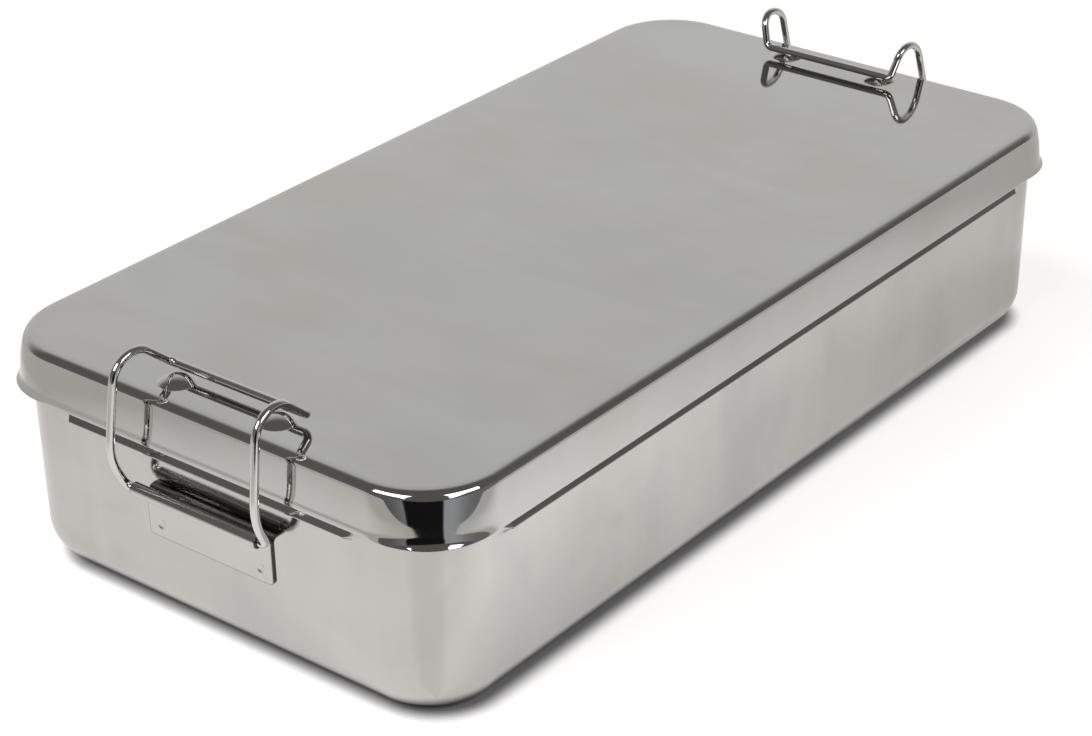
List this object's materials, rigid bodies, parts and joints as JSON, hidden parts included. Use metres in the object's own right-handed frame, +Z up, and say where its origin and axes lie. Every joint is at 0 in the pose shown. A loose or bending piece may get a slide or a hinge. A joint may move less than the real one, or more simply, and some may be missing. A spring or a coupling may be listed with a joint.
{
  "type": "sterilization container",
  "caption": "Rectangular polished steel instrument box with a lift-off lid held shut by two hinged wire bail handles at its ends.",
  "frame": {"origin": "centre of the flat floor the box stands on, at the bottom middle of the whole container", "axes": "+X along the length towards the right end, whose bail has the taller ears; +Y across; +Z up"},
  "size_m": [0.3145, 0.159, 0.0806],
  "materials": {
    "box_steel": "polished stainless steel",
    "lid_steel": "polished stainless steel",
    "plate_steel": "polished stainless steel",
    "wire_steel": "bright drawn stainless wire"
  },
  "bodies": {
    "box": {"box_body": "box_steel", "left_hinge_plate": "plate_steel", "right_hinge_plate": "plate_steel"},
    "cover": {"lid": "lid_steel"},
    "left_handle": {"left_bail": "wire_steel"},
    "right_handle": {"right_bail": "wire_steel"}
  },
  "joints": [
    {"name": "lid_lift", "type": "slide", "parent": "box", "child": "cover", "axis": [0, 0, 1], "range_m": [0, 0.03]},
    {"name": "left_bail_swing", "type": "hinge", "parent": "box", "child": "left_handle", "pos_m": [-0.15322, 0, 0.04016], "axis": [0, -1, 0], "range_deg": [0, 170]},
    {"name": "right_bail_swing", "type": "hinge", "parent": "box", "child": "right_handle", "pos_m": [0.15322, 0, 0.04016], "axis": [0, 1, 0], "range_deg": [0, 170]}
  ],
  "couplings": [
    {"joint": "left_bail_swing", "follows": "lid_lift", "rad_per_m": 98.9},
    {"joint": "right_bail_swing", "follows": "lid_lift", "rad_per_m": 98.9}
  ]
}
